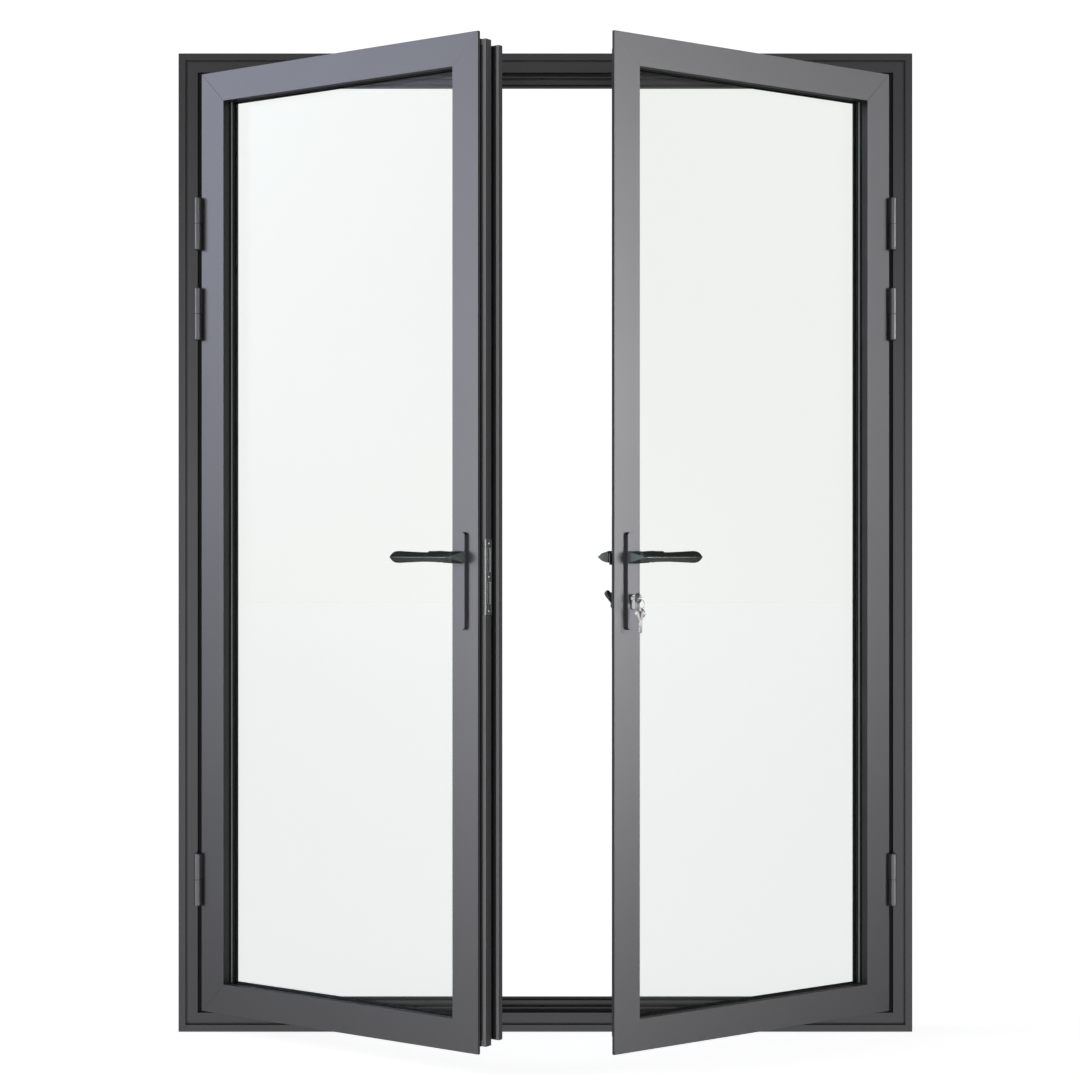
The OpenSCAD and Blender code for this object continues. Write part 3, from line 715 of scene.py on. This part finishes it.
def new_tree(name, sizes):
    """A Geometry Nodes tree with geometry, a look and named sizes going in."""
    tree = bpy.data.node_groups.new(name, "GeometryNodeTree")
    sockets = {"Geometry": "NodeSocketGeometry", "Look": "NodeSocketMaterial"} | sizes
    for socket, kind in sockets.items():
        tree.interface.new_socket(socket, in_out="INPUT", socket_type=kind)
    tree.interface.new_socket("Geometry", in_out="OUTPUT", socket_type="NodeSocketGeometry")
    return tree, add(tree, "NodeGroupInput").outputs


def end_tree(tree, made, look):
    """Ends a tree with its instances made real and its look set."""
    real = add(tree, "GeometryNodeRealizeInstances", {"Geometry": made})
    dressed = add(tree, "GeometryNodeSetMaterial", {"Geometry": real.outputs["Geometry"],
                                                    "Material": look})
    add(tree, "NodeGroupOutput", {"Geometry": dressed.outputs["Geometry"]})
    return tree


def extrusion_tree():
    """Runs a rounded rubber or metal section along the edges that go in."""
    tree, given = new_tree("extruded_section", {"Width": FLOAT, "Depth": FLOAT, "Rounding": FLOAT,
                                                "Corner": FLOAT})
    path = add(tree, "GeometryNodeMeshToCurve", {"Mesh": given["Geometry"]})
    turned = add(tree, "GeometryNodeFilletCurve",
                 {"Curve": path.outputs["Curve"], "Radius": given["Corner"], "Count": 6,
                  "Limit Radius": True}, mode="POLY")
    level = add(tree, "GeometryNodeSetCurveNormal", {"Curve": turned.outputs["Curve"]},
                mode="Z_UP")
    section = add(tree, "GeometryNodeCurvePrimitiveQuadrilateral",
                  {"Width": given["Width"], "Height": given["Depth"]})
    soft = add(tree, "GeometryNodeFilletCurve",
               {"Curve": section.outputs["Curve"], "Radius": given["Rounding"], "Count": 4,
                "Limit Radius": True}, mode="POLY")
    bar = add(tree, "GeometryNodeCurveToMesh",
              {"Curve": level.outputs["Curve"], "Profile Curve": soft.outputs["Curve"],
               "Fill Caps": True})
    return end_tree(tree, bar.outputs["Mesh"], given["Look"])


def fixing_tree():
    """Sets one part on every point that goes in."""
    tree, given = new_tree("parts_at_points", {"Part": "NodeSocketObject", "Size": FLOAT})
    part = add(tree, "GeometryNodeObjectInfo", {"Object": given["Part"]})
    parts = add(tree, "GeometryNodeInstanceOnPoints",
                {"Points": given["Geometry"], "Instance": part.outputs["Geometry"],
                 "Scale": given["Size"]})
    return end_tree(tree, parts.outputs["Instances"], given["Look"])


EXTRUSION = extrusion_tree()
FIXINGS = fixing_tree()


def made_by(tree, mesh, look, values, extras=()):
    """The plain mesh that a tree makes from a mesh, with its named inputs set."""
    source = placed(mesh)
    maker = source.modifiers.new("maker", "NODES")
    maker.node_group = tree
    for socket in tree.interface.items_tree:
        if socket.in_out == "INPUT" and socket.name in values:
            maker[socket.identifier] = values[socket.name]
        elif socket.name == "Look":
            maker[socket.identifier] = LOOKS[look]
    return evaluated(source, extras)


def path_mesh(points, closed):
    """Edges through points in order."""
    count = len(points)
    edges = [(i, (i + 1) % count) for i in range(count if closed else count - 1)]
    mesh = bpy.data.meshes.new("path")
    mesh.from_pydata([(x, y, 0) for x, y in points], edges, [])
    return mesh


def extruded(name, body, look, slot, points, size, v, closed=True, rounding=0.4, corner=2.0,
             side="left"):
    """A strip of size (width, depth) along points (u, z), its middle at v."""
    mesh = made_by(EXTRUSION, path_mesh(points, closed), look,
                   {"Width": float(size[0]), "Depth": float(size[1]), "Rounding": rounding,
                    "Corner": corner})
    strip = finish_piece(mesh, name, body, slot, look,
                         space=SPACE[side] @ Matrix.Translation((0, v, 0)) @ UPRIGHT)
    soften_edges(strip, 0.05, 1, 60)


def leaf_loop(inset):
    """Corners of a rectangle that lies inset from the leaf's edges."""
    low_u, high_u = HINGE_EDGE + inset, MEETING_EDGE - inset
    low_z, high_z = LEAF_LOW + inset, LEAF_HIGH - inset
    return [(low_u, low_z), (high_u, low_z), (high_u, high_z), (low_u, high_z)]


def at_points(name, body, look, slot, part, points, turn, side="left", replaces=()):
    """One part at each point (u, v, z) of a leaf, turned by a matrix."""
    mesh = bpy.data.meshes.new("points")
    back = turn.inverted()
    mesh.from_pydata([back @ Vector(point) for point in points], [], [])
    part_object = placed(part)
    made = made_by(FIXINGS, mesh, look, {"Part": part_object, "Size": 1.0}, (part_object,))
    piece = finish_piece(made, name, body, slot, look, replaces, SPACE[side] @ turn)
    soften_edges(piece, 0.15, 1, 35)


def turned_part(profile, count=40):
    """A closed turned part from (radius, height) pairs."""
    return skin([[Vector((x, y, height)) for x, y in circle_points(radius, count)]
                 for radius, height in profile])


def block(size, middle):
    """A block, used to cut with."""
    low = [m - s / 2 for m, s in zip(middle, size)]
    high = [m + s / 2 for m, s in zip(middle, size)]
    rings = [[Vector((x, y, z)) for x, y in ((low[0], low[1]), (high[0], low[1]),
                                            (high[0], high[1]), (low[0], high[1]))]
             for z in (low[2], high[2])]
    return skin(rings)


def countersunk_screw():
    """A countersunk screw, its cross recess cut into a slightly domed head."""
    head = turned_part(((1.9, -9), (1.9, -1.9), (3.7, 0), (3.4, 0.45), (2.2, 0.85), (0.4, 1)))
    return joined([head], [block((3.6, 0.8, 2), (0, 0, 0.7)), block((0.8, 3.6, 2), (0, 0, 0.7))])


def round_box(width, height, radius):
    """Outline of a rectangle with round corners, four points to a corner."""
    steps = 4
    points = []
    for corner in range(4):
        cx = (width / 2 - radius) * (1 if corner in (0, 3) else -1)
        cy = (height / 2 - radius) * (1 if corner in (0, 1) else -1)
        for i in range(steps + 1):
            turn = math.pi / 2 * (corner + i / steps)
            points.append((cx + radius * math.cos(turn), cy + radius * math.sin(turn)))
    return points


def make_glass_edges(side):
    """Lips of the glazing seals, and the pale line along the spacer between the panes."""
    body = f"{side}_leaf"
    for place, v in (("outer", OUTER_LIP_V), ("inner", INNER_LIP_V)):
        extruded(f"{side}_{place}_glazing_lip", body, "gasket", "gasket", leaf_loop(GLASS_EDGE),
                 (1.6, 2.4), v, side=side)
    extruded(f"{side}_spacer_line", body, "spacer_line", "spacer", leaf_loop(SPACER_EDGE + 0.1),
             (0.5, 4), SPACER_MIDDLE_V, rounding=0.15, side=side)


def make_hinge_details(side):
    """A bearing ring between the two knuckles of each hinge, and a domed cap at each end."""
    ring = turned_part(((5, -0.5), (8.15, -0.5), (8.25, -0.3), (8.25, 0.3), (8.15, 0.5), (5, 0.5)))
    dome = ((7.2, -1), (7.7, 0.05), (7.5, 0.7), (6.6, 1.6), (4.8, 2.4), (2.4, 2.9), (0.5, 3))
    upper = turned_part([(r, BARREL_HALF + h) for r, h in dome])
    lower = turned_part([(r, -BARREL_HALF - h) for r, h in dome])
    points = [(0, HINGE_AXIS_V, z) for z in HINGE_HEIGHTS]
    stand = Matrix.Identity(4)
    at_points(f"{side}_hinge_bearing_rings", "frame", "cap", "cap", ring, points, stand, side)
    at_points(f"{side}_hinge_upper_caps", f"{side}_leaf", "hinge_coat", "hinge_coat", upper,
              points, stand, side)
    at_points(f"{side}_hinge_lower_caps", "frame", "hinge_coat", "hinge_coat", lower, points,
              stand, side)


def make_meeting_seals():
    """The wide seal on the meeting profile's second front, and the bulb beside its first."""
    end = 30
    for name, u, width, depth, back, rounding in (
            ("left_meeting_rear_seal", 860, 10.4, 5, SECOND_FRONT_V, 1.6),
            ("left_meeting_bulb_seal", MEETING_EDGE + 0.6, 3.2, 5.8, LIP_V - 0.1, 1.2)):
        extruded(name, "left_leaf", "gasket", "gasket", [(u, LEAF_LOW + end), (u, LEAF_HIGH - end)],
                 (width, depth), back - depth / 2, closed=False, rounding=rounding, corner=0.0)


def keep_liner(height):
    """A thin-walled liner for a slot in the strike plate, open right through."""
    width, wall, depth, proud = 11.6, 0.6, 4.8, 0.2
    outer = round_box(width, height, 1.2)
    inner = round_box(width - 2 * wall, height - 2 * wall, 0.9)
    rings = [[Vector((x, y, level)) for x, y in outline]
             for outline, level in ((outer, -depth), (outer, proud), (inner, proud),
                                    (inner, -depth))]
    return skin(rings, hollow=True)


# A part made with its open face up looks out of the strike plate, or of the lock's faceplate,
# with its own y along z.
OUTWARDS = Matrix(((0, 0, 1, 0), (1, 0, 0, 0), (0, 1, 0, 0), (0, 0, 0, 1)))
# The strike plate's two slots: their middle v, then each one's middle height and liner's height.
SLOT_V = 25
SLOTS = {"deadbolt_keep": (1087, 49.4), "latch_keep": (1160.5, 54.4)}
# Its screws, as heights from the plate's low end, middle and high end.
STRIKE_SCREWS = (STRIKE_LOW + 9.3, (STRIKE_LOW + STRIKE_HIGH) / 2 + 0.95, STRIKE_HIGH - 9.4)


def make_strike_fittings():
    """Keeps behind the strike plate's slots, and the screws of both plates."""
    for name, (z, height) in SLOTS.items():
        at_points(name, "left_leaf", "keep", "cap", keep_liner(height),
                  [(STRIKE_FACE, SLOT_V, z)], OUTWARDS)
    at_points("strike_plate_screws", "left_leaf", "bright_steel", "bright_steel",
              countersunk_screw(), [(STRIKE_FACE, STRIKE_AXIS_V, z) for z in STRIKE_SCREWS],
              OUTWARDS, replaces=("strike_screws",))
    at_points("faceplate_screws", "right_leaf", "bright_steel", "bright_steel",
              countersunk_screw(),
              [(FACEPLATE_FACE, FACEPLATE_SCREW_V, z) for z in FACEPLATE_SCREWS], OUTWARDS,
              "right")


def make_cylinder_gap_painted_shade():
    """A dark rubber strip round the lock cylinder where it comes through the backplate: painted
    shade, standing in for the shadowed gap round the cylinder.
    """
    gap, out_v, drop = 0.7, -10.3, 19.5
    plug_r = 8.5 + gap
    body_r = 5 + gap
    neck = math.asin(body_r / plug_r)
    points = []
    for i in range(41):
        turn = neck + (math.tau - 2 * neck) * i / 40 - math.pi
        points.append((CYLINDER.x + plug_r * math.sin(turn), CYLINDER.z + plug_r * math.cos(turn)))
    for i in range(21):
        turn = -math.pi * i / 20
        points.append((CYLINDER.x + body_r * math.cos(turn),
                       CYLINDER.z - drop + body_r * math.sin(turn)))
    # Painted shade: black rubber laid where the gap round the cylinder falls into shadow.
    extruded("lock_cylinder_shroud", "right_leaf", "gasket", "gasket", points, (1.2, 1.2), out_v,
             rounding=0.3, corner=0.0, side="right")


for side in SIDES:
    make_glass_edges(side)
    make_hinge_details(side)
make_meeting_seals()
make_strike_fittings()
make_cylinder_gap_painted_shade()


# ---------- studio ----------

def floor_paint():
    """Matt white painted floor with a faint roller texture."""
    material, tree, output = new_material("white_floor_paint")
    texture = grain(tree, 60)
    colour = add(tree, "ShaderNodeMix", {"Factor": texture.outputs["Fac"], 6: linear("#f4f4f4"),
                                         7: linear("#f8f8f8")}, data_type="RGBA")
    shader = add(tree, "ShaderNodeBsdfPrincipled",
                 {"Base Color": colour.outputs[2], "Roughness": 0.9,
                  "Emission Color": (1, 1, 1, 1), "Emission Strength": 0.85})
    tree.links.new(shader.outputs["BSDF"], output.inputs["Surface"])
    return material


def make_floor():
    """A wide floor just under the sill, which only the eye sees."""
    half = 40
    mesh = bpy.data.meshes.new("floor")
    level = -0.0005
    mesh.from_pydata([(-half, -half, level), (half, -half, level), (half, half, level),
                      (-half, half, level)], [], [(0, 1, 2, 3)])
    mesh.materials.append(floor_paint())
    floor = bpy.data.objects.new("floor", mesh)
    bpy.context.scene.collection.objects.link(floor)
    floor.visible_glossy = False
    floor.visible_diffuse = False


def grey(value, tint=(1, 1, 1)):
    """RGBA of a grey, or of a tint as bright as that."""
    return [value * part for part in tint] + [1]


def make_world():
    """White to the eye. For light, walls to each side that are bright above eye level and dark
    below, a soft box beyond each leaf and behind each jamb, a dim front and a dark back."""
    world = bpy.data.worlds.new("studio")
    bpy.context.scene.world = world
    world.use_nodes = True
    tree = world.node_tree
    tree.nodes.clear()
    look = add(tree, "ShaderNodeTexCoord")
    parts = add(tree, "ShaderNodeSeparateXYZ", {"Vector": look.outputs["Generated"]})
    rise = add(tree, "ShaderNodeMapRange", {"Value": parts.outputs["Z"], "From Min": -1})
    cool = (0.92, 0.97, 1.18)
    left = add(tree, "ShaderNodeValToRGB", {"Fac": rise.outputs["Result"]}, stops=(
        (0.0, grey(0.4)), (0.3, grey(0.08)), (0.47, grey(0.15)), (0.54, grey(1.4, cool)),
        (0.60, grey(2.25, cool)), (0.8, grey(1.8, cool)), (1.0, grey(0.1))))
    right = add(tree, "ShaderNodeValToRGB", {"Fac": rise.outputs["Result"]}, stops=(
        (0.0, grey(0.4)), (0.3, grey(0.05)), (0.47, grey(0.05)), (0.54, grey(0.44)),
        (0.61, grey(0.74)), (0.8, grey(0.66)), (1.0, grey(0.1))))
    front = add(tree, "ShaderNodeValToRGB", {"Fac": rise.outputs["Result"]}, stops=(
        (0.0, grey(0.3)), (0.36, grey(0.4)), (0.44, grey(0.6)), (0.49, grey(1.4)),
        (0.55, grey(0.4)), (0.60, grey(0.12)), (1.0, grey(0.08))))
    back = add(tree, "ShaderNodeValToRGB", {"Fac": rise.outputs["Result"]}, stops=(
        (0.0, grey(0.5)), (0.15, grey(0.42)), (0.33, grey(0.12)), (1.0, grey(0.08))))
    to_right = add(tree, "ShaderNodeMapRange", {"Value": parts.outputs["X"], "From Min": -0.3,
                                                "From Max": 0.3})
    sides = add(tree, "ShaderNodeMix", {"Factor": to_right.outputs["Result"],
                                        6: left.outputs["Color"], 7: right.outputs["Color"]},
                data_type="RGBA")
    to_front = add(tree, "ShaderNodeMapRange", {"Value": parts.outputs["Y"], "From Min": -0.15,
                                                "From Max": -0.42})
    to_back = add(tree, "ShaderNodeMapRange", {"Value": parts.outputs["Y"], "From Min": -0.05,
                                               "From Max": 0.15})
    around = add(tree, "ShaderNodeMix", {"Factor": to_front.outputs["Result"],
                                         6: sides.outputs[2], 7: front.outputs["Color"]},
                 data_type="RGBA")
    total = add(tree, "ShaderNodeMix", {"Factor": to_back.outputs["Result"],
                                        6: around.outputs[2], 7: back.outputs["Color"]},
                data_type="RGBA")
    for x, y, z, wide, strength in ((-0.88, -0.48, 0.03, 10, 3.6), (0.88, -0.48, 0.05, 10, 9.5),
                                    (-0.68, 0.7, -0.12, 24, 0.6), (0.68, 0.7, -0.12, 24, 0.6)):
        towards = Vector((x, y, z)).normalized()
        near = add(tree, "ShaderNodeVectorMath", {0: look.outputs["Generated"], 1: towards},
                   operation="DOT_PRODUCT")
        box = add(tree, "ShaderNodeMapRange", {"Value": near.outputs["Value"],
                                               "From Min": math.cos(math.radians(wide)),
                                               "From Max": math.cos(math.radians(2)),
                                               "To Max": strength})
        total = add(tree, "ShaderNodeMix", {"Factor": 1.0, 6: total.outputs[2],
                                            7: box.outputs["Result"]},
                    data_type="RGBA", blend_type="ADD")
    light = add(tree, "ShaderNodeBackground", {"Color": total.outputs[2]})
    white = add(tree, "ShaderNodeBackground", {"Color": (1, 1, 1, 1), "Strength": 1.05})
    path = add(tree, "ShaderNodeLightPath")
    both = add(tree, "ShaderNodeMixShader", {0: path.outputs["Is Camera Ray"],
                                             1: light.outputs["Background"],
                                             2: white.outputs["Background"]})
    output = add(tree, "ShaderNodeOutputWorld")
    tree.links.new(both.outputs["Shader"], output.inputs["Surface"])


def make_camera():
    """At eye height, square to the frame, with a long lens."""
    camera = bpy.data.cameras.new("camera")
    camera.lens = 76.6
    camera.sensor_width = 36
    camera.shift_x = -0.005
    camera.shift_y = 0.0024
    item = bpy.data.objects.new("camera", camera)
    bpy.context.scene.collection.objects.link(item)
    item.location = (0, -5.67, 1.2)
    item.rotation_euler = (math.pi / 2, 0, 0)
    bpy.context.scene.camera = item


make_floor()
make_world()
make_camera()
bpy.context.scene.view_settings.view_transform = "Standard"

bpy.context.view_layer.update()
